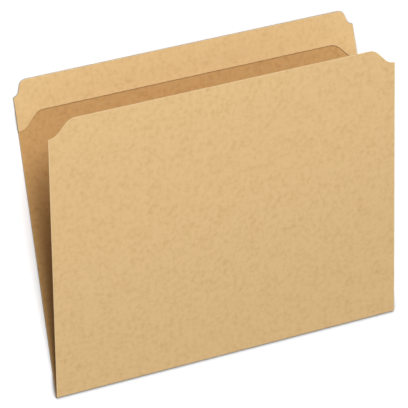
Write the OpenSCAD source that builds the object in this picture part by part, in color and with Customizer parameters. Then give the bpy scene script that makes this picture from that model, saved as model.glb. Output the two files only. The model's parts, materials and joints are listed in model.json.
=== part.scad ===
// Letter-size file folder of heavy kraft paper, lying on its back cover with the front cover ajar.
// X runs along the bottom fold, Y from the fold to the tab, and Z up out of the back cover.
// The origin is the middle of the back cover's outline, on the surface that the folder lies on.

/* [Covers] */
// Width of the folder, along the bottom fold
folder_w = 298.45; // [200:0.05:420]
// Height of the back cover, from the outside of the bottom fold to the folded top edge
back_h = 241.3; // [230:0.1:380]
// Height of the front cover, from the outside of the bottom fold to its top edge
front_h = 222.1; // [150:0.1:235]
// How far each side of the back cover draws in from the bottom fold to the tab
back_taper = 2.2; // [0:0.1:6]
// Thickness of the paper
sheet_t = 0.28; // [0.2:0.01:0.4]

/* [Bottom fold] */
// Angle between the covers as the folder lies ajar
open_angle = 14.5; // [8:0.1:60]
// Inside radius of the bottom fold
fold_r = 0.45; // [0.45:0.05:1.5]

/* [Score lines] */
// Distance from the outside of the bottom fold to the first score line
score_first = 7.5; // [5:0.1:12]
// Distance from each score line to the next
score_pitch = 6.35; // [4:0.05:12]
// Width of the groove pressed into the outer face along a score line
score_w = 0.5; // [0.2:0.05:1]
// Depth of that groove
score_depth = 0.08; // [0.02:0.01:0.12]

/* [Reinforced tab] */
// Depth of the folded-over ply, from the folded top edge to its free edge
ply_depth = 24.7; // [20:0.1:45]
// Thickness of the glue film between the ply and the back cover
glue_t = 0.05; // [0.02:0.01:0.1]
// Bare margin left between the glue film and the edges of the ply
glue_margin = 4; // [1:0.5:8]

/* [Die-cut corners] */
// Depth of the shoulders that end the front cover's top edge and the ply's free edge
shoulder_d = 13.2; // [8:0.1:20]
// Radius of a shoulder's two round turns
shoulder_r = 12; // [4:0.5:20]
// Slope of the straight stretch between those turns, in degrees
shoulder_slope = 45; // [30:1:60]
// Depth of the notches at the ends of the folded top edge
notch_d = 11.5; // [8:0.1:16]
// Radius of a notch's two round turns
notch_r = 5; // [2:0.5:7]
// Slope of the straight stretch between those turns, in degrees
notch_slope = 72; // [50:1:80]

/* [Hidden] */

kraft_outer = [0.89, 0.76, 0.53];
kraft_inner = [0.80, 0.64, 0.41];
kraft_fold = [0.84, 0.70, 0.47];
glue_clear = [0.93, 0.91, 0.84];

// Steps in each round turn of a die-cut corner, and facets of the two folds
turn_steps = 10;
fold_facets = 96;
// How far a cut runs past the paper
past = 1;

// Outer radii of the two folds, whose outsides are the folder's first and last points along Y
fold_outer_r = fold_r + sheet_t;
tab_inner_r = glue_t / 2;
tab_outer_r = tab_inner_r + sheet_t;

// Centre line of the bottom fold, where the back cover starts
fold_y = fold_outer_r - back_h / 2;
fold_z = fold_outer_r;
// Centre line of the tab's fold, where the back cover and the ply end
tab_y = back_h / 2 - tab_outer_r;
tab_z = tab_outer_r;
// Free edge of the ply
ply_y = back_h / 2 - ply_depth;

// Distances along the front cover's own face, counted from where the bottom fold ends
score_1_at = score_first - fold_outer_r;
score_2_at = score_1_at + score_pitch;
score_3_at = score_2_at + score_pitch;
front_top_at = front_h - fold_outer_r;

// Length of the straight stretch in a corner that drops by depth between two turns
function straight_run(depth, radius, slope) =
    (depth - 2 * radius * (1 - cos(slope))) / sin(slope);

// Width of such a corner
function corner_w(depth, radius, slope) =
    2 * radius * sin(slope) + straight_run(depth, radius, slope) * cos(slope);

// One corner as points from the end of the straight edge, [0, 0], outwards and down to the side
function corner_points(depth, radius, slope) = concat(
    [for (i = [0 : turn_steps])
        let (a = slope * i / turn_steps)
        [radius * sin(a), -radius * (1 - cos(a))]],
    [for (i = [turn_steps : -1 : 0])
        let (a = slope * i / turn_steps)
        [corner_w(depth, radius, slope) - radius * sin(a), radius * (1 - cos(a)) - depth]]
);

// An edge at height y across the whole width with a corner at each end, from right to left
function cornered_edge(y, depth, radius, slope) =
    let (
        corner = corner_points(depth, radius, slope),
        inset = folder_w / 2 - corner_w(depth, radius, slope),
        right = [for (p = corner) [inset + p[0], y + p[1]]],
        count = len(right)
    )
    concat(
        [for (i = [count - 1 : -1 : 0]) right[i]],
        [for (p = right) [-p[0], p[1]]]
    );

function reversed(points) = [for (i = [len(points) - 1 : -1 : 0]) points[i]];

function notched_edge(y) = cornered_edge(y, notch_d, notch_r, notch_slope);
function shouldered_edge(y) = cornered_edge(y, shoulder_d, shoulder_r, shoulder_slope);

// Share of the full width that the back cover and its ply keep at height y
function kept_width(y) = 1 - 2 * back_taper / folder_w * (y - fold_y) / (back_h / 2 - fold_y);

function drawn_in(points) = [for (p = points) [p[0] * kept_width(p[1]), p[1]]];

// Half the length of the folded top edge, between its two notches
fold_half_w = (folder_w / 2 - corner_w(notch_d, notch_r, notch_slope)) * kept_width(tab_y);

// Extrudes a section drawn in Y and Z along the fold
module along_fold(length) {
    rotate([90, 0, 90])
        translate([0, 0, -length / 2])
            linear_extrude(length)
                children();
}

// Stands its children on the front cover's inner face, at a distance along it from the bottom fold
module on_front(distance) {
    translate([0, fold_y, fold_z])
        rotate([open_angle, 0, 0])
            translate([0, distance, fold_r])
                children();
}

// A sheet bent from one direction to another, in degrees about its centre
module bent_sheet(inner_r, outer_r, from_angle, to_angle) {
    reach = 4 * outer_r;
    middle_angle = (from_angle + to_angle) / 2;
    intersection() {
        difference() {
            circle(r = outer_r, $fn = fold_facets);
            circle(r = inner_r, $fn = fold_facets);
        }
        polygon([
            [0, 0],
            reach * [cos(from_angle), sin(from_angle)],
            reach * [cos(middle_angle), sin(middle_angle)],
            reach * [cos(to_angle), sin(to_angle)]
        ]);
    }
}

// The groove of one score line, sunk into the outer face at y = 0
module score_groove() {
    along_fold(folder_w + 2 * past)
        polygon([
            [0, sheet_t - score_depth],
            [score_w / 2, sheet_t],
            [score_w / 2, sheet_t + past],
            [-score_w / 2, sheet_t + past],
            [-score_w / 2, sheet_t]
        ]);
}

// Flat strip of the front cover between two distances, with a half groove at each scored edge
module score_strip(from_at, to_at, scored_start) {
    on_front(from_at)
        difference() {
            translate([-folder_w / 2, 0, 0])
                cube([folder_w, to_at - from_at, sheet_t]);
            if (scored_start) score_groove();
            translate([0, to_at - from_at, 0])
                score_groove();
        }
}

module back_cover() {
    color(kraft_inner)
        linear_extrude(sheet_t)
            polygon(drawn_in(concat(
                [[-folder_w / 2, fold_y], [folder_w / 2, fold_y]],
                notched_edge(tab_y)
            )));
}

module tab_fold() {
    color(kraft_outer)
        translate([0, tab_y, tab_z])
            along_fold(2 * fold_half_w)
                bent_sheet(tab_inner_r, tab_outer_r, -90, 90);
}

module tab_ply() {
    color(kraft_outer)
        translate([0, 0, sheet_t + glue_t])
            linear_extrude(sheet_t)
                polygon(drawn_in(concat(
                    notched_edge(tab_y),
                    reversed(shouldered_edge(ply_y))
                )));
}

module tab_glue() {
    glue_y = ply_y + glue_margin;
    color(glue_clear)
        translate([glue_margin - fold_half_w, glue_y, sheet_t])
            cube([2 * (fold_half_w - glue_margin), tab_y - glue_y, glue_t]);
}

module bottom_fold() {
    color(kraft_fold)
        translate([0, fold_y, fold_z])
            along_fold(folder_w)
                bent_sheet(fold_r, fold_outer_r, 90 + open_angle, 270);
}

module score_strip_1() {
    color(kraft_outer)
        score_strip(0, score_1_at, false);
}

module score_strip_2() {
    color(kraft_outer)
        score_strip(score_1_at, score_2_at, true);
}

module score_strip_3() {
    color(kraft_outer)
        score_strip(score_2_at, score_3_at, true);
}

module front_cover() {
    color(kraft_outer)
        on_front(score_3_at)
            difference() {
                linear_extrude(sheet_t)
                    polygon(concat(
                        [[-folder_w / 2, 0], [folder_w / 2, 0]],
                        shouldered_edge(front_top_at - score_3_at)
                    ));
                score_groove();
            }
}

back_cover();
tab_fold();
tab_ply();
tab_glue();
bottom_fold();
score_strip_1();
score_strip_2();
score_strip_3();
front_cover();
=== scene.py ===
import json
import math

import bpy
import numpy as np
from mathutils import Matrix, Vector


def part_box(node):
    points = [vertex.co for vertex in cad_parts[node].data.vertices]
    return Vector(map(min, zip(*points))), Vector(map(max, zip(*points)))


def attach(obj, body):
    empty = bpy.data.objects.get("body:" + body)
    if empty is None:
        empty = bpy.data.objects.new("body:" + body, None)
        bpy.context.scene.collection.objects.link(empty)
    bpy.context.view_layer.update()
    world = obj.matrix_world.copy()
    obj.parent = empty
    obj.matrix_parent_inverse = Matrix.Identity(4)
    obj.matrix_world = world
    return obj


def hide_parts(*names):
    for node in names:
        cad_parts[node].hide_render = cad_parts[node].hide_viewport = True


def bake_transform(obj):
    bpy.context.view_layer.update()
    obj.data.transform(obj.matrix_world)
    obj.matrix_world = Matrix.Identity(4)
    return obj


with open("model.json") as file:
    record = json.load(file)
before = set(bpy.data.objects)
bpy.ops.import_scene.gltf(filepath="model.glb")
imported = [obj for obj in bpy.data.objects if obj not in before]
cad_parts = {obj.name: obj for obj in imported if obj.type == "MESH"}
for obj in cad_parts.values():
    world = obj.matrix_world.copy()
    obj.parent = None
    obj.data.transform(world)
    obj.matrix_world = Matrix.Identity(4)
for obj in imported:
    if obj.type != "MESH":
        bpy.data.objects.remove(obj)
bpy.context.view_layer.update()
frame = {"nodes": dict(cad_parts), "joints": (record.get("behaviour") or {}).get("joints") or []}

bl_info = {
    "name": "Kraft file folder",
    "version": (1, 0, 0),
    "blender": (4, 5, 0),
    "location": "3D View > Sidebar > File folder",
    "description": "Dresses a packed file folder as kraft paper and sets it on a plain stage",
    "category": "Add Mesh",
}

MM = 0.001

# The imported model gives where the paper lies
JOINTS = {joint["name"]: joint for joint in frame["joints"]}
SCORES = ("score_1_fold", "score_2_fold", "score_3_fold")
BACK_LO, BACK_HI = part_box("back_cover")
PLY_LO, PLY_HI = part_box("tab_ply")
FRONT_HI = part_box("front_cover")[1]
# The front cover stands ajar by the angle that its hinge can still close
OPENING = -math.radians(JOINTS["cover_hinge"]["range_deg"][0])

# About how far apart a cover's rows and columns stand
PANEL_STEP = 8 * MM
# Columns in each turn of a die-cut corner, and on the straight run between its turns
TURN_COLUMNS, RUN_COLUMNS = 14, 4
# Rows over half of a fold, and columns along the tab's fold
ARC_ROWS, TAB_FOLD_COLUMNS = 14, 40
# Rows over the ply between its rims, over the flat paper next to the bottom fold, and through a score
PLY_ROWS, FLAT_ROWS, SCORE_ROWS = 10, 4, 13
# Width of the pale band along a cut edge, torn fibres and a painted highlight, and where its rows lie
RIM_BAND = 0.9 * MM
RIM_ROWS = np.array([0.0, 0.45, 1.0]) * RIM_BAND
# How pale the cuts of the back cover and its ply are painted (worn fibres and painted highlight), and how
# worn the scores look, beside the front cover's cuts
BACK_WEAR_AND_HIGHLIGHT, SCORE_WEAR = 0.4, 0.05
# Share of a score's depth by which its bead stands out of the inner face
BEAD_SHARE = 0.4
# Half the width over which the paper bends at a score, and half the width of its close rows
BEND_HALF, ROWS_HALF = 0.35 * MM, 0.6 * MM
# The front cover's rows start to take the shape of its top edge this far past the third score
LEVEL_PAST = 4 * MM
# The ply's loose corner: where its lift starts and how much further out it is full, as shares of half
# the width, and how far past the glue it is full
CORNER_FROM, CORNER_OVER, CORNER_REACH = 0.70, 0.24, 10 * MM
# A turn past this is a cut edge's corner, and not a bend of the paper
WALL_ANGLE = math.radians(40)
# The inner face has its own stretch of the pattern, this far away in the map
INNER_SHIFT = 1.0
SHEET_MAP = "sheet"


def linear(code):
    """The linear colour of an sRGB hex value: c / 12.92 below 0.04045, else ((c + 0.055) / 1.055) ** 2.4."""
    srgb = [int(code[i:i + 2], 16) / 255 for i in (0, 2, 4)]
    return tuple(c / 12.92 if c <= 0.04045 else ((c + 0.055) / 1.055) ** 2.4 for c in srgb)


def length(name, description, default):
    """A size in metres."""
    return bpy.props.FloatProperty(name=name, description=description, default=default, min=0,
                                   precision=5, unit="LENGTH", subtype="DISTANCE")


def slope(name, description, default):
    """An angle whose default is given in degrees."""
    return bpy.props.FloatProperty(name=name, description=description,
                                   default=math.radians(default), subtype="ANGLE", unit="ROTATION")


def colour(name, description, code):
    """A colour whose default is given as an sRGB hex value."""
    return bpy.props.FloatVectorProperty(name=name, description=description, size=3,
                                         subtype="COLOR", default=linear(code), min=0, max=1)


class FolderSizes(bpy.types.PropertyGroup):
    """Sizes of the folder's cuts, folds and scores"""
    width: length("Width", "Along the bottom fold", BACK_HI.x - BACK_LO.x)
    sheet: length("Paper", "Thickness of the paper", BACK_HI.z - BACK_LO.z)
    fold_radius: length("Fold radius", "Inside radius of the bottom fold", 0.45 * MM)
    tab_radius: length("Tab radius", "Inside radius of the fold along the tab", 0.025 * MM)
    taper: length("Taper", "How far each side of the back cover draws in up to the tab", 2.2 * MM)
    shoulder_depth: length("Shoulder depth", "Drop at each end of a free edge", 13.2 * MM)
    shoulder_radius: length("Shoulder radius", "Radius of a shoulder's turns", 12 * MM)
    shoulder_slope: slope("Shoulder slope", "Slope between a shoulder's turns", 45)
    notch_depth: length("Notch depth", "Drop at each end of the tab's fold", 11.5 * MM)
    notch_radius: length("Notch radius", "Radius of a notch's turns", 5 * MM)
    notch_slope: slope("Notch slope", "Slope between a notch's turns", 72)
    # The scores are drawn wider and shallower than they are pressed, as they look from a step away
    score_width: length("Score width", "Width of a score's groove", 1.0 * MM)
    score_depth: length("Score depth", "Depth of a score's groove", 0.02 * MM)
    glue_margin: length("Glue margin", "Bare strip between the glue and the ply's free edge", 4 * MM)
    edge_lift: length("Edge lift", "How far the ply's free edge stands up", 0.2 * MM)
    corner_lift: length("Corner lift", "How far the ply's loose right corner stands up", 0.3 * MM)


class FolderColours(bpy.types.PropertyGroup):
    """Colours of the folder's paper and glue"""
    outer_light: colour("Outer face, light", "Pale pulp of the outer face", "E8C48D")
    outer_dark: colour("Outer face, dark", "Dark pulp of the outer face", "D0A66E")
    # The inner face's colours are the outer face's paper painted darker and browner: painted shade for the
    # pocket between the covers
    inner_light_painted_shade: colour("Inner face, light", "Pale pulp of the inner face", "CFA36A")
    inner_dark_painted_shade: colour("Inner face, dark", "Dark pulp of the inner face", "B2814A")
    bark: colour("Bark flecks", "Specks of bark in the pulp", "A87C48")
    # The cut colour is partly torn fibres and partly a painted highlight where cut edges and the bottom fold
    # catch light
    cut: colour("Cut edge", "Torn fibres along a cut or a crease", "F0D9AC")
    glue: colour("Glue", "Dried glue film", "EDE6D2")


def sizes():
    """The scene's folder sizes."""
    return bpy.context.scene.folder_sizes


def colours():
    """The scene's folder colours."""
    return bpy.context.scene.folder_colours


# ---- where the paper runs ------------------------------------------------------------------

def fold_centre():
    """Centre line of the bottom fold: it stands over the end of the back cover, one outer radius up."""
    s = sizes()
    return np.array([0, BACK_LO.y, s.fold_radius + s.sheet])


def along_front():
    """Direction up the front cover, at the opening angle from +Y towards +Z."""
    return np.array([0, math.cos(OPENING), math.sin(OPENING)])


def out_of_front():
    """Direction out of the front cover's outer face, square to along_front."""
    return np.array([0, -math.sin(OPENING), math.cos(OPENING)])


def fold_length():
    """Length of paper in the bottom fold: its half turn less the opening, times its middle radius."""
    s = sizes()
    return (math.pi - OPENING) * (s.fold_radius + s.sheet / 2)


def score_at(name):
    """Distance of a score from the bottom fold, up the front cover: its joint's place along it."""
    return float((np.array(JOINTS[name]["pos_m"]) - fold_centre()) @ along_front())


def front_top_at():
    """Length of the front cover beyond the bottom fold, from the height of its outer top edge."""
    s = sizes()
    rise = FRONT_HI.z - fold_centre()[2] - (s.fold_radius + s.sheet) * math.cos(OPENING)
    return rise / math.sin(OPENING)


# ---- die-cut corners -----------------------------------------------------------------------

def corner_sizes(depth, radius, angle):
    """(width of a turn, drop in a turn, width of the whole corner): r sin a, r (1 - cos a), and two
    turns plus the straight run between them."""
    turn, fall = radius * math.sin(angle), radius * (1 - math.cos(angle))
    return turn, fall, 2 * turn + (depth - 2 * fall) / math.tan(angle)


def corner_drop(x, depth, radius, angle):
    """How far a cornered edge lies below its straight part at x: 0, then r - sqrt(r2 - q2) in the first
    turn, a straight slope, and depth - (r - sqrt(r2 - p2)) in the second, with q from the corner's start
    and p from its end."""
    turn, fall, wide = corner_sizes(depth, radius, angle)
    q = np.clip(np.abs(x) - (sizes().width / 2 - wide), 0, wide)
    first = radius - np.sqrt(np.maximum(radius ** 2 - np.minimum(q, turn) ** 2, 0))
    last = radius - np.sqrt(np.maximum(radius ** 2 - np.minimum(wide - q, turn) ** 2, 0))
    straight = fall + (q - turn) * math.tan(angle)
    return np.where(q <= turn, first, np.where(q >= wide - turn, depth - last, straight))


def corner_columns(depth, radius, angle):
    """Where columns stand in one corner, from the middle outwards: even steps of angle in both turns."""
    turn, _, wide = corner_sizes(depth, radius, angle)
    q = radius * np.sin(np.linspace(0, angle, TURN_COLUMNS))
    run = np.linspace(turn, wide - turn, RUN_COLUMNS + 2)[1:-1]
    start = sizes().width / 2 - wide
    return np.concatenate([start + q, start + run, start + wide - q[::-1]])


def shoulder():
    """(depth, radius, slope) of the corners that end a free edge."""
    s = sizes()
    return s.shoulder_depth, s.shoulder_radius, s.shoulder_slope


def notch():
    """(depth, radius, slope) of the corners that end the tab's fold."""
    s = sizes()
    return s.notch_depth, s.notch_radius, s.notch_slope


def kept_width(y):
    """Share of the full width that the back cover keeps at y: 1 at the bottom fold, and less by twice
    the taper over the width at the tab's outer edge, in a straight line."""
    s = sizes()
    height = BACK_HI.y + s.tab_radius + s.sheet - BACK_LO.y
    return 1 - 2 * s.taper / s.width * (y - BACK_LO.y) / height


def columns(*corners):
    """Columns over the whole width: even steps, the corners' own columns and the rim's, both ways."""
    half = sizes().width / 2
    even = np.linspace(0, half, int(half / PANEL_STEP) + 1)
    right = np.concatenate([even, half - RIM_ROWS, *[corner_columns(*c) for c in corners]])
    right = np.unique(np.round(np.clip(right, 0, half), 7))
    return np.concatenate([-right[:0:-1], right])


def side_rim(x):
    """1 at the two sides, falling to 0 one rim band in."""
    return np.clip(1 - (sizes().width / 2 - np.abs(x)) / RIM_BAND, 0, 1)


def row_rim(count):
    """1 in the first of a sheet's rows, falling to 0 over the rim's rows, and 0 in the rest."""
    rim = np.zeros((count, 1))
    rim[:len(RIM_ROWS), 0] = 1 - RIM_ROWS / RIM_BAND
    return rim


def tab_half():
    """Half the length of the tab's fold, from the middle out to where a notch starts."""
    return sizes().width / 2 - corner_sizes(*notch())[2]


# ---- sheets --------------------------------------------------------------------------------

def sheet_object(name, x, place, inner, outer, rim, crease=0):
    """A closed sheet of paper. Its two skins are grids of points (row, column, 3). The rows run along the
    developed sheet, from the ply's free edge to the front cover's top, so the outer skin faces +X cross
    that way. Walls join the skins' borders. The map holds x and the place along the developed sheet, in
    metres, and runs on over a wall by the paper's thickness."""
    rows, cols = inner.shape[:2]
    count = rows * cols
    grid = np.arange(count).reshape(rows, cols)
    quads = np.stack([grid[:-1, :-1], grid[:-1, 1:], grid[1:, 1:], grid[1:, :-1]], -1).reshape(-1, 4)
    loop = np.concatenate([grid[0, :-1], grid[:-1, -1], grid[-1, :0:-1], grid[:0:-1, 0]])
    after = np.roll(loop, -1)
    walls = np.stack([loop, after, after + count, loop + count], -1)
    outwards = np.repeat([[0, -1], [1, 0], [0, 1], [-1, 0]],
                         [cols - 1, rows - 1, cols - 1, rows - 1], axis=0) * sizes().sheet

    flat = np.stack(np.broadcast_arrays(x, place), -1).reshape(-1, 2)
    wall_map = flat[np.stack([loop, after, after, loop], -1)]
    wall_map[:, :2] += outwards[:, None]
    maps = np.concatenate([flat[quads], flat[quads[:, ::-1]] + [INNER_SHIFT, 0], wall_map])
    faces = np.concatenate([quads + count, quads[:, ::-1], walls])
    slots = np.repeat([0, 1, 2], [len(quads), len(quads), len(walls)])

    mesh = bpy.data.meshes.new(name)
    both = np.concatenate([inner.reshape(-1, 3), outer.reshape(-1, 3)])
    mesh.from_pydata(both.tolist(), [], faces.tolist())
    mesh.uv_layers.new(name=SHEET_MAP).data.foreach_set("uv", maps.astype(np.float32).ravel())
    mesh.polygons.foreach_set("material_index", slots.astype(np.int32))
    mesh.polygons.foreach_set("use_smooth", slots != 2)
    for title, values in (("rim", rim), ("crease", crease)):
        spread = np.broadcast_to(values, (rows, cols)).ravel()
        attribute = mesh.attributes.new(title, "FLOAT", "POINT")
        attribute.data.foreach_set("value", np.tile(spread, 2).astype(np.float32))
    for material in (paper_outer(), paper_inner_painted_shade(), paper_cut()):
        mesh.materials.append(material)
    mesh.update()
    mesh.set_sharp_from_angle(angle=WALL_ANGLE)
    piece = bpy.data.objects.new(name, mesh)
    bpy.context.scene.collection.objects.link(piece)
    return piece


def points(x, y, z):
    """A grid of points from its three coordinates, each spread over the grid."""
    return np.stack(np.broadcast_arrays(x, y, z), -1).astype(float)


def fold_wear_and_highlight(start, end, angle):
    """How pale the fold is painted: stretched outer fibres and a painted highlight where its curve catches
    light. sin2 over the turn, so 0 at its ends and 1 midway.
    """
    return np.sin(np.pi * (angle - end) / (start - end)) ** 2


def groove(at):
    """Depth of the scores at a distance up the front cover: one wave of (1 + cosine) / 2 across each."""
    s = sizes()
    away = np.min([np.abs(at - score_at(name)) for name in SCORES], axis=0)
    return s.score_depth * 0.5 * (1 + np.cos(np.pi * np.minimum(2 * away / s.score_width, 1)))


def score_wear(at):
    """How worn the scores look at a distance up the front cover: in step with their grooves' depth."""
    return SCORE_WEAR * groove(at) / sizes().score_depth


def front_skins(x, at):
    """Inner and outer skin of the front cover: the fold's centre, plus the distance up the cover, plus
    the fold's radius and the paper out of it. A score sinks the outer skin and beads the inner one."""
    s = sizes()
    at = np.broadcast_to(at, np.broadcast(x, at).shape)
    base = points(x, 0, 0) + fold_centre() + at[..., None] * along_front()
    sunk = groove(at)[..., None]
    inner = base + out_of_front() * (s.fold_radius - BEAD_SHARE * sunk)
    outer = base + out_of_front() * (s.fold_radius + s.sheet - sunk)
    return inner, outer


def fold_skins(x, angle):
    """Inner and outer skin of the bottom fold: two arcs about its centre."""
    s = sizes()
    inner, outer = (fold_centre() + points(x, r * np.cos(angle), r * np.sin(angle))
                    for r in (s.fold_radius, s.fold_radius + s.sheet))
    return inner, outer


def tab_fold_length():
    """Length of paper in the tab's fold: half a turn of its middle radius."""
    s = sizes()
    return math.pi * (s.tab_radius + s.sheet / 2)


def smooth(value):
    """0 below 0, 1 above 1, and t2 (3 - 2 t) between."""
    t = np.clip(value, 0, 1)
    return t * t * (3 - 2 * t)


# ---- materials -----------------------------------------------------------------------------

# What the clouds, the bundles and each lie of strands add to the pulp's tone, and where the sum starts
CLOUD_SHARE, BUNDLE_SHARE, STRAND_SHARE, TONE_START = 0.28, 0.66, 0.16, -0.36
# Tones at which the pulp is darkest and lightest
DARK_TONE, LIGHT_TONE = -0.10, 0.47
# Directions in which the strands lie, in degrees, and their length over their width
STRAND_TURNS, STRAND_STRETCH = (17, 79, 141), 6.25
# How much of the bark's colour, and of the pale colour of torn fibres and painted highlight, shows at the
# most
FLECK_SHARE, TORN_AND_HIGHLIGHT_SHARE = 0.5, 0.55


def add(tree, kind, values=(), links=(), **settings):
    """Adds a node with its settings, the values of its sockets, and links from other nodes' sockets."""
    made = tree.nodes.new("ShaderNode" + kind)
    for key, value in settings.items():
        setattr(made, key, value)
    for key, value in dict(values).items():
        made.inputs[key].default_value = value
    for key, source in dict(links).items():
        tree.links.new(source, made.inputs[key])
    return made


def rgba(value):
    """A linear colour with full opacity."""
    return (*value, 1.0)


def new_material(name):
    """A new material and its node tree, with no nodes in it."""
    material = bpy.data.materials.new(name)
    material.use_nodes = True
    material.node_tree.nodes.clear()
    return material, material.node_tree


def kept(name, make):
    """The material of that name, made once."""
    return bpy.data.materials.get(name) or make(name)


def kraft(name, light, dark):
    """Unbleached kraft board, machine-finished: long brown fibres pressed into a sheet. The eye sees soft
    clouds of uneven pulp, a mottle of fibre bundles, a few bark flecks and a dull, dry surface."""
    material, tree = new_material(name)
    where = add(tree, "UVMap", uv_map=SHEET_MAP).outputs["UV"]

    # Clouds of pulp 14 mm across, and bundles 4 mm across that break up down to 0.5 mm
    clouds = add(tree, "TexNoise", {"Scale": 1 / (14 * MM), "Detail": 2.0}, {"Vector": where})
    bundles = add(tree, "TexNoise", {"Scale": 1 / (4 * MM), "Detail": 3.0, "Roughness": 0.6},
                  {"Vector": where})
    tone = add(tree, "Math", {1: CLOUD_SHARE, 2: TONE_START}, {0: clouds.outputs["Fac"]},
               operation="MULTIPLY_ADD")
    tone = add(tree, "Math", {1: BUNDLE_SHARE}, {0: bundles.outputs["Fac"], 2: tone.outputs[0]},
               operation="MULTIPLY_ADD")

    # Single fibres are 3 mm by 0.04 mm; they are drawn 0.55 mm wide, so that they show from a step away
    for turn in STRAND_TURNS:
        lie = add(tree, "Mapping",
                  {"Rotation": (0, 0, math.radians(turn)), "Scale": (STRAND_STRETCH, 1, 1)},
                  {"Vector": where}, vector_type="TEXTURE")
        strand = add(tree, "TexNoise", {"Scale": 1 / (0.55 * MM), "Detail": 1.0},
                     {"Vector": lie.outputs["Vector"]})
        tone = add(tree, "Math", {1: STRAND_SHARE}, {0: strand.outputs["Fac"], 2: tone.outputs[0]},
                   operation="MULTIPLY_ADD")
    tone = add(tree, "MapRange", {"From Min": DARK_TONE, "From Max": LIGHT_TONE},
               {"Value": tone.outputs[0]}, interpolation_type="SMOOTHSTEP").outputs["Result"]
    pulp = add(tree, "Mix", {6: rgba(dark), 7: rgba(light)}, {0: tone}, data_type="RGBA").outputs[2]

    # Bark flecks up to 0.7 mm across. The cells are 7 mm cubes round the sheet, of which one in seven
    # has its point close enough to the paper to show, so the flecks lie about 19 mm apart
    flecks = add(tree, "TexVoronoi", {"Scale": 1 / (7 * MM)}, {"Vector": where}).outputs["Distance"]
    flecks = add(tree, "MapRange", {"From Min": 0.07, "From Max": 0.03, "To Max": FLECK_SHARE},
                 {"Value": flecks}).outputs["Result"]
    pulp = add(tree, "Mix", {7: rgba(colours().bark)}, {0: flecks, 6: pulp}, data_type="RGBA").outputs[2]

    # Paler along cuts and creases: torn and stretched fibres, and a painted highlight where edges and the
    # bottom fold catch light
    rim = add(tree, "Attribute", attribute_name="rim").outputs["Fac"]
    crease = add(tree, "Attribute", attribute_name="crease").outputs["Fac"]
    pale_wear_and_highlight = add(tree, "Math", {}, {0: rim, 1: crease}, operation="MAXIMUM").outputs[0]
    pale_wear_and_highlight = add(tree, "Math", {1: TORN_AND_HIGHLIGHT_SHARE}, {0: pale_wear_and_highlight}, operation="MULTIPLY").outputs[0]
    pulp = add(tree, "Mix", {7: rgba(colours().cut)}, {0: pale_wear_and_highlight, 6: pulp}, data_type="RGBA").outputs[2]

    # The felt's print and the fibres stand a few hundredths of a millimetre proud
    grit = add(tree, "TexNoise", {"Scale": 1 / (0.4 * MM), "Detail": 2.0}, {"Vector": where})
    relief = add(tree, "Math", {}, {0: grit.outputs["Fac"], 1: bundles.outputs["Fac"]}, operation="ADD")
    bump = add(tree, "Bump", {"Strength": 0.35, "Distance": 0.03 * MM}, {"Height": relief.outputs[0]})
    # Pale pulp is a little less rough than dark
    dull = add(tree, "MapRange", {"To Min": 0.86, "To Max": 0.74}, {"Value": tone}).outputs["Result"]
    board = add(tree, "BsdfPrincipled", {"IOR": 1.47, "Specular IOR Level": 0.15},
                {"Base Color": pulp, "Roughness": dull, "Normal": bump.outputs["Normal"]})
    add(tree, "OutputMaterial", {}, {"Surface": board.outputs["BSDF"]})
    return material


def paper_outer():
    """The board's outer face, in the paper's own colours."""
    return kept("kraft_board_outer_face",
                lambda name: kraft(name, colours().outer_light, colours().outer_dark))


def paper_inner_painted_shade():
    """The board's inner face: the same paper as the outer face, painted darker and browner as shade in the
    pocket between the covers.
    """
    return kept("kraft_board_inner_face_painted_shade",
                lambda name: kraft(name, colours().inner_light_painted_shade, colours().inner_dark_painted_shade))


def paper_cut():
    """The board's cut edges."""
    return kept("kraft_board_die_cut_edge", cut_edge)


def cut_edge(name):
    """Die-cut edge of the board: sheared, fuzzy fibre ends, rougher than its faces, and paler, partly as a
    painted highlight where the edge catches light.
    """
    material, tree = new_material(name)
    where = add(tree, "UVMap", uv_map=SHEET_MAP).outputs["UV"]
    fuzz = add(tree, "TexNoise", {"Scale": 1 / (0.5 * MM), "Detail": 2.0}, {"Vector": where}).outputs["Fac"]
    pale = add(tree, "Mix", {6: rgba(colours().outer_light), 7: rgba(colours().cut)}, {0: fuzz},
               data_type="RGBA").outputs[2]
    bump = add(tree, "Bump", {"Strength": 0.5, "Distance": 0.04 * MM}, {"Height": fuzz})
    edge = add(tree, "BsdfPrincipled", {"Roughness": 0.95, "IOR": 1.47, "Specular IOR Level": 0.15},
               {"Base Color": pale, "Normal": bump.outputs["Normal"]})
    add(tree, "OutputMaterial", {}, {"Surface": edge.outputs["BSDF"]})
    return material


def dried_glue(name):
    """Dried starch glue, rolled on: a thin, slightly cloudy film that shines a little where it is thick."""
    material, tree = new_material(name)
    where = add(tree, "TexCoord").outputs["Object"]
    streaks = add(tree, "TexNoise", {"Scale": 1 / (4 * MM), "Detail": 3.0}, {"Vector": where}).outputs["Fac"]
    tint = add(tree, "Mix", {6: rgba(colours().glue), 7: rgba(colours().outer_dark)}, {0: streaks},
               data_type="RGBA").outputs[2]
    shine = add(tree, "MapRange", {"To Min": 0.35, "To Max": 0.6}, {"Value": streaks}).outputs["Result"]
    film = add(tree, "BsdfPrincipled", {"IOR": 1.48}, {"Base Color": tint, "Roughness": shine})
    add(tree, "OutputMaterial", {}, {"Surface": film.outputs["BSDF"]})
    return material


# ---- operators -----------------------------------------------------------------------------

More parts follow.
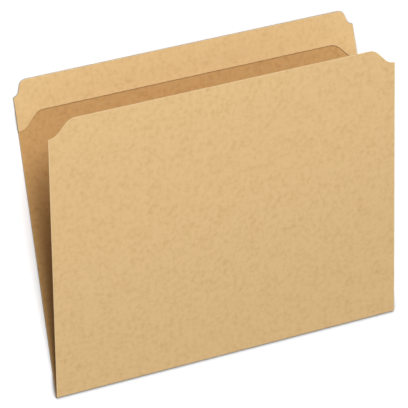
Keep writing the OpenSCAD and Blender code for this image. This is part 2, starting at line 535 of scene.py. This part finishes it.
class FOLDER_OT_back_cover(bpy.types.Operator):
    """Makes the back cover, with the notched ends of its tab"""
    bl_idname = "folder.back_cover"
    bl_label = "Back cover"

    def execute(self, context):
        x = columns(notch())[None, :]
        top = BACK_HI.y - corner_drop(x, *notch())
        # Rows run from the tab down to the bottom fold, first through the rim along the notches
        share = np.linspace(0, 1, int((BACK_HI.y - BACK_LO.y) / PANEL_STEP))[1:, None]
        below = top - RIM_BAND
        y = np.concatenate([top - RIM_ROWS[:, None], below + (BACK_LO.y - below) * share])
        notch_rim = row_rim(len(y)) * (np.abs(x) > tab_half())
        across = x * kept_width(y)
        piece = sheet_object(
            "back_cover_panel", across, BACK_LO.y - y,
            points(across, y, BACK_HI.z), points(across, y, BACK_LO.z),
            BACK_WEAR_AND_HIGHLIGHT * np.maximum(side_rim(x), notch_rim))
        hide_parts("back_cover")
        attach(piece, "back")
        return {"FINISHED"}


def make_tab_fold():
    """The tab's fold: two half circles about its centre line, from the ply's side down to the back
    cover's."""
    s = sizes()
    x = np.linspace(-tab_half(), tab_half(), TAB_FOLD_COLUMNS)[None, :] * kept_width(BACK_HI.y)
    angle = np.linspace(math.pi / 2, -math.pi / 2, 2 * ARC_ROWS)[:, None]
    inner, outer = (
        points(x, BACK_HI.y + r * np.cos(angle), s.tab_radius + s.sheet + r * np.sin(angle))
        for r in (s.tab_radius, s.tab_radius + s.sheet))
    place = BACK_LO.y - BACK_HI.y - tab_fold_length() * (0.5 + angle / math.pi)
    fold = sheet_object("tab_fold_over", x, place, inner, outer, 0, crease=np.cos(angle))
    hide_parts("tab_fold")
    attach(fold, "back")


def make_tab_ply():
    """The ply, from its shouldered free edge up to the notched fold. Past the glue the free edge stands up
    a little, and its right corner a little more, in smooth rises."""
    s = sizes()
    x = columns(notch(), shoulder())[None, :]
    low = PLY_LO.y + s.shoulder_depth - corner_drop(x, *shoulder())
    high = PLY_HI.y - corner_drop(x, *notch())
    share = np.linspace(0, 1, PLY_ROWS + 2)[1:-1, None]
    start, end = low + RIM_BAND, high - RIM_BAND
    y = np.concatenate([low + RIM_ROWS[:, None], start + (end - start) * share,
                        high - RIM_ROWS[::-1, None]])
    notch_rim = row_rim(len(y))[::-1] * (np.abs(x) > tab_half())

    past_glue = PLY_LO.y + s.shoulder_depth + s.glue_margin - y
    outwards = smooth((x - CORNER_FROM * s.width / 2) / (CORNER_OVER * s.width / 2))
    corner = outwards * smooth(past_glue / CORNER_REACH)
    lift = s.edge_lift * smooth(past_glue / s.glue_margin) + (s.corner_lift - s.edge_lift) * corner

    across = x * kept_width(y)
    place = BACK_LO.y - BACK_HI.y - tab_fold_length() - (BACK_HI.y - y)
    ply = sheet_object(
        "tab_ply_sheet", across, place,
        points(across, y, PLY_LO.z + lift), points(across, y, PLY_HI.z + lift),
        BACK_WEAR_AND_HIGHLIGHT * np.maximum(side_rim(x), notch_rim))
    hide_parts("tab_ply")
    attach(ply, "back")


def finish_glue():
    """Gives the glue between the plies its material."""
    glue = frame["nodes"]["tab_glue"]
    glue.data.materials.clear()
    glue.data.materials.append(kept("dried_starch_glue", dried_glue))


class FOLDER_OT_reinforced_tab(bpy.types.Operator):
    """Makes the tab's fold and its second ply, and finishes the glue between the plies"""
    bl_idname = "folder.reinforced_tab"
    bl_label = "Reinforced tab"

    def execute(self, context):
        make_tab_fold()
        make_tab_ply()
        finish_glue()
        return {"FINISHED"}


class FOLDER_OT_bottom_fold(bpy.types.Operator):
    """Makes the bottom fold in two halves"""
    bl_idname = "folder.bottom_fold"
    bl_label = "Bottom fold"

    def execute(self, context):
        s = sizes()
        x = columns(shoulder())[None, :]
        start, middle, end = 1.5 * math.pi, math.pi + OPENING / 2, math.pi / 2 + OPENING

        angle = np.linspace(start, middle, ARC_ROWS)[:, None]
        place = (start - angle) * (s.fold_radius + s.sheet / 2)
        lower = sheet_object("bottom_fold_back_half", x, place, *fold_skins(x, angle),
                             side_rim(x), crease=fold_wear_and_highlight(start, end, angle))
        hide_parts("bottom_fold")
        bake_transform(lower)

        # The other half goes on up to the middle of the first strip
        angle = np.linspace(middle, end, ARC_ROWS)[:, None]
        inner, outer = fold_skins(x, angle)
        flat = np.linspace(0, score_at("score_1_fold") / 2, FLAT_ROWS + 1)[1:, None]
        flat_inner, flat_outer = front_skins(x, flat)
        place = np.concatenate([(start - angle) * (s.fold_radius + s.sheet / 2), fold_length() + flat])
        crease = np.concatenate([fold_wear_and_highlight(start, end, angle), np.zeros_like(flat)])
        upper = sheet_object("bottom_fold_front_half", x, place,
                             np.concatenate([inner, flat_inner]), np.concatenate([outer, flat_outer]),
                             side_rim(x), crease=crease)
        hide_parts("bottom_fold", "score_strip_1")
        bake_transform(upper)
        return {"FINISHED"}


def crease_rows(name):
    """Distances up the front cover through one score, close enough together to bend."""
    return score_at(name) + np.linspace(-ROWS_HALF, ROWS_HALF, SCORE_ROWS)


def bend_at(piece):
    """Bakes a piece's transform into its mesh."""
    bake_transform(piece)


class FOLDER_OT_score_lines(bpy.types.Operator):
    """Makes the paper round the first and second scores"""
    bl_idname = "folder.score_lines"
    bl_label = "Score lines"

    def execute(self, context):
        x = columns(shoulder())[None, :]
        ends = [score_at("score_1_fold") / 2,
                (score_at("score_1_fold") + score_at("score_2_fold")) / 2,
                (score_at("score_2_fold") + score_at("score_3_fold")) / 2]
        for i, name in enumerate(SCORES[:2]):
            at = np.concatenate([[ends[i]], crease_rows(name), [ends[i + 1]]])[:, None]
            inner, outer = front_skins(x, at)
            piece = sheet_object(f"score_{i + 1}_paper", x, fold_length() + at, inner, outer, side_rim(x),
                                 crease=score_wear(at))
            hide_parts(f"score_strip_{i + 1}", f"score_strip_{i + 2}")
            bend_at(piece)
        return {"FINISHED"}


class FOLDER_OT_front_cover(bpy.types.Operator):
    """Makes the front cover, from the middle of the third strip up to its shouldered top edge"""
    bl_idname = "folder.front_cover"
    bl_label = "Front cover"

    def execute(self, context):
        x = columns(shoulder())[None, :]
        third = score_at("score_3_fold")
        begin = (score_at("score_2_fold") + third) / 2
        level = third + LEVEL_PAST
        top = front_top_at() - corner_drop(x, *shoulder())
        below = top - RIM_BAND
        share = np.linspace(0, 1, int((front_top_at() - level) / PANEL_STEP))[:-1, None]
        straight = np.concatenate([[begin], crease_rows("score_3_fold")])[:, None]
        at = np.concatenate([np.broadcast_to(straight, (len(straight), x.shape[1])),
                             level + (below - level) * share, top - RIM_ROWS[::-1, None]])
        inner, outer = front_skins(x, at)
        piece = sheet_object("front_cover_panel", x, fold_length() + at, inner, outer,
                             np.maximum(side_rim(x), row_rim(len(at))[::-1]), crease=score_wear(at))
        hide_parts("front_cover", "score_strip_3")
        bend_at(piece)
        return {"FINISHED"}


# ---- stage ---------------------------------------------------------------------------------

WHITE = rgba((1, 1, 1))

# The camera that a solution from the photographed edges gives: its place in metres, its directions to
# the right and ahead, its lens and sensor in millimetres, and how far it sees in metres
CAMERA_AT = Vector((-1.32355, 0.52438, 2.57146))
CAMERA_RIGHT = Vector((0.86887, -0.13947, 0.47499))
CAMERA_AHEAD = Vector((0.44950, -0.17934, -0.87509))
CAMERA_LENS, CAMERA_SENSOR, CAMERA_REACH = 340.47, 36.0, 100

# Half the floor's side, and how far it lies below the folder, so that no two faces share a plane
FLOOR_HALF, FLOOR_DROP = 6.0, 0.05 * MM
# How bright the floor is for the camera and for the light that it sends back onto the folder, and the
# glow that the camera sees on top
FLOOR_SEEN, FLOOR_BOUNCE, FLOOR_GLOW = 1.0, 0.25, 0.20
# A painted contact shade: the floor darkens where something stands within this distance of it, more
# with a higher power, and this many rays look for it
CONTACT_REACH, CONTACT_POWER, CONTACT_SAMPLES = 6 * MM, 2.5, 8
# Distances from the folder's middle, in metres, between which the floor fades to plain white
FADE_FROM, FADE_TO = 0.28, 0.75

# A plain level: the fill and the softbox together send back about what a colour says. The fill is
# brightest low in front of the fold and falls to nothing a quarter turn from there
FILL_LIGHT = 0.88
FILL_FROM = Vector((0.25, -0.90, 0.33))
# The softbox stands tall beyond the tab; its level is about what a white board square to it sends back
KEY_LIGHT, KEY_AWAY, KEY_WIDE, KEY_TALL = 1.10, 1.9, 0.8, 1.4
KEY_FROM = Vector((-0.12, 0.68, 0.72))


def seen_directly(tree):
    """1 for rays from the camera, and for those that a gloss or a clear body sends on, else 0."""
    path = add(tree, "LightPath")
    either = add(tree, "Math", {}, {0: path.outputs["Is Camera Ray"], 1: path.outputs["Is Glossy Ray"]},
                 operation="MAXIMUM").outputs[0]
    return add(tree, "Math", {}, {0: either, 1: path.outputs["Is Transmission Ray"]},
               operation="MAXIMUM").outputs[0]


def studio_floor(name):
    """Matt white sweep: it takes shadows as any white board does, has a painted contact shade close to what
    lies on it, and shows a little brighter than it is. Away from the folder it is plain white."""
    material, tree = new_material(name)
    seen = seen_directly(tree)
    pale = add(tree, "MapRange", {"To Min": FLOOR_BOUNCE, "To Max": FLOOR_SEEN}, {"Value": seen})
    # Painted contact shade: ambient occlusion darkens the floor's colour and glow near the folder
    clear = add(tree, "AmbientOcclusion", {"Distance": CONTACT_REACH}, samples=CONTACT_SAMPLES)
    clear = add(tree, "Math", {1: CONTACT_POWER}, {0: clear.outputs["AO"]}, operation="POWER").outputs[0]
    pale = add(tree, "Math", {}, {0: pale.outputs["Result"], 1: clear}, operation="MULTIPLY")
    board = add(tree, "BsdfDiffuse", {}, {"Color": pale.outputs[0]}).outputs[0]
    strength = add(tree, "Math", {1: FLOOR_GLOW}, {0: seen}, operation="MULTIPLY")
    strength = add(tree, "Math", {}, {0: strength.outputs[0], 1: clear}, operation="MULTIPLY").outputs[0]
    glow = add(tree, "Emission", {"Color": WHITE}, {"Strength": strength}).outputs[0]
    both = add(tree, "AddShader", {}, {0: board, 1: glow}).outputs[0]

    # Away from the folder the sweep is evenly lit: it fades to plain white
    place = add(tree, "TexCoord").outputs["Object"]
    away = add(tree, "VectorMath", {}, {0: place}, operation="LENGTH").outputs["Value"]
    away = add(tree, "MapRange", {"From Min": FADE_FROM, "From Max": FADE_TO}, {"Value": away},
               interpolation_type="SMOOTHSTEP").outputs["Result"]
    away = add(tree, "Math", {}, {0: away, 1: seen}, operation="MULTIPLY").outputs[0]
    white = add(tree, "Emission", {"Color": WHITE, "Strength": 1.0}).outputs[0]
    faded = add(tree, "MixShader", {}, {0: away, 1: both, 2: white}).outputs[0]
    add(tree, "OutputMaterial", {}, {"Surface": faded})
    return material


def lay_floor(scene):
    """Lays a square of board under the folder."""
    corners = np.array([[-1, -1], [1, -1], [1, 1], [-1, 1]]) * FLOOR_HALF
    mesh = bpy.data.meshes.new("studio_floor")
    mesh.from_pydata([(x, y, -FLOOR_DROP) for x, y in corners], [], [(0, 1, 2, 3)])
    mesh.materials.append(kept("matt_white_sweep", studio_floor))
    floor = bpy.data.objects.new("studio_floor", mesh)
    scene.collection.objects.link(floor)


def light_fill(scene):
    """Surrounds the stage with soft light: from any direction it is the fill's level times the cosine of
    the angle to its brightest one, and none past a quarter turn. The camera and a gloss see plain white
    instead."""
    world = bpy.data.worlds.new("studio")
    scene.world = world
    world.use_nodes = True
    tree = world.node_tree
    tree.nodes.clear()
    way = add(tree, "TexCoord").outputs["Generated"]
    near = add(tree, "VectorMath", {1: FILL_FROM.normalized()}, {0: way}, operation="DOT_PRODUCT")
    level = add(tree, "MapRange", {"To Max": FILL_LIGHT}, {"Value": near.outputs["Value"]})
    light = add(tree, "Background", {"Color": WHITE}, {"Strength": level.outputs["Result"]}).outputs[0]
    white = add(tree, "Background", {"Color": WHITE, "Strength": 1.0}).outputs[0]
    mixed = add(tree, "MixShader", {}, {0: seen_directly(tree), 1: light, 2: white}).outputs[0]
    add(tree, "OutputWorld", {}, {"Surface": mixed})


def hang_softbox(scene):
    """Hangs the softbox so that it faces the folder. Its power is the level times (pi times its distance)
    squared, so that a white board square to it, where the folder is, sends back about that level."""
    lamp = bpy.data.lights.new("softbox", "AREA")
    lamp.shape, lamp.size, lamp.size_y = "RECTANGLE", KEY_WIDE, KEY_TALL
    lamp.energy = KEY_LIGHT * (math.pi * KEY_AWAY) ** 2
    key = bpy.data.objects.new("softbox", lamp)
    key.location = KEY_FROM.normalized() * KEY_AWAY
    key.rotation_mode = "QUATERNION"
    key.rotation_quaternion = KEY_FROM.to_track_quat("Z", "Y")
    scene.collection.objects.link(key)


def place_camera(scene):
    """Places the camera, with its direction to the right made square to the one ahead."""
    data = bpy.data.cameras.new("photo_camera")
    data.lens, data.sensor_width, data.clip_end = CAMERA_LENS, CAMERA_SENSOR, CAMERA_REACH
    camera = bpy.data.objects.new("photo_camera", data)
    ahead = CAMERA_AHEAD.normalized()
    right = (CAMERA_RIGHT - ahead * CAMERA_RIGHT.dot(ahead)).normalized()
    turned = Matrix((right, right.cross(ahead), -ahead)).transposed().to_4x4()
    camera.matrix_world = Matrix.Translation(CAMERA_AT) @ turned
    scene.collection.objects.link(camera)
    scene.camera = camera


class FOLDER_OT_stage(bpy.types.Operator):
    """Sets the floor, the light and the camera"""
    bl_idname = "folder.stage"
    bl_label = "Stage"

    def execute(self, context):
        context.scene.view_settings.view_transform = "Standard"
        lay_floor(context.scene)
        light_fill(context.scene)
        hang_softbox(context.scene)
        place_camera(context.scene)
        return {"FINISHED"}


class FOLDER_PT_panel(bpy.types.Panel):
    """Lists the folder's pieces, sizes and colours"""
    bl_idname = "FOLDER_PT_panel"
    bl_label = "File folder"
    bl_space_type = "VIEW_3D"
    bl_region_type = "UI"
    bl_category = "File folder"

    def draw(self, context):
        for operator in OPERATORS:
            self.layout.operator(operator.bl_idname)
        for group in (context.scene.folder_sizes, context.scene.folder_colours):
            box = self.layout.box()
            for name in group.bl_rna.properties.keys():
                if name not in ("rna_type", "name"):
                    box.prop(group, name)


OPERATORS = (FOLDER_OT_back_cover, FOLDER_OT_reinforced_tab, FOLDER_OT_bottom_fold,
             FOLDER_OT_score_lines, FOLDER_OT_front_cover, FOLDER_OT_stage)
CLASSES = (FolderSizes, FolderColours, *OPERATORS, FOLDER_PT_panel)


def register():
    """Registers the classes, and gives the scene its folder sizes and colours."""
    for cls in CLASSES:
        bpy.utils.register_class(cls)
    bpy.types.Scene.folder_sizes = bpy.props.PointerProperty(type=FolderSizes)
    bpy.types.Scene.folder_colours = bpy.props.PointerProperty(type=FolderColours)


def unregister():
    """Takes away what register adds, in the other order."""
    del bpy.types.Scene.folder_colours
    del bpy.types.Scene.folder_sizes
    for cls in reversed(CLASSES):
        bpy.utils.unregister_class(cls)


def main():
    """Makes the pieces and the stage in order."""
    register()
    bpy.ops.folder.back_cover()
    bpy.ops.folder.reinforced_tab()
    bpy.ops.folder.bottom_fold()
    bpy.ops.folder.score_lines()
    bpy.ops.folder.front_cover()
    bpy.ops.folder.stage()


if __name__ == "__main__":
    main()
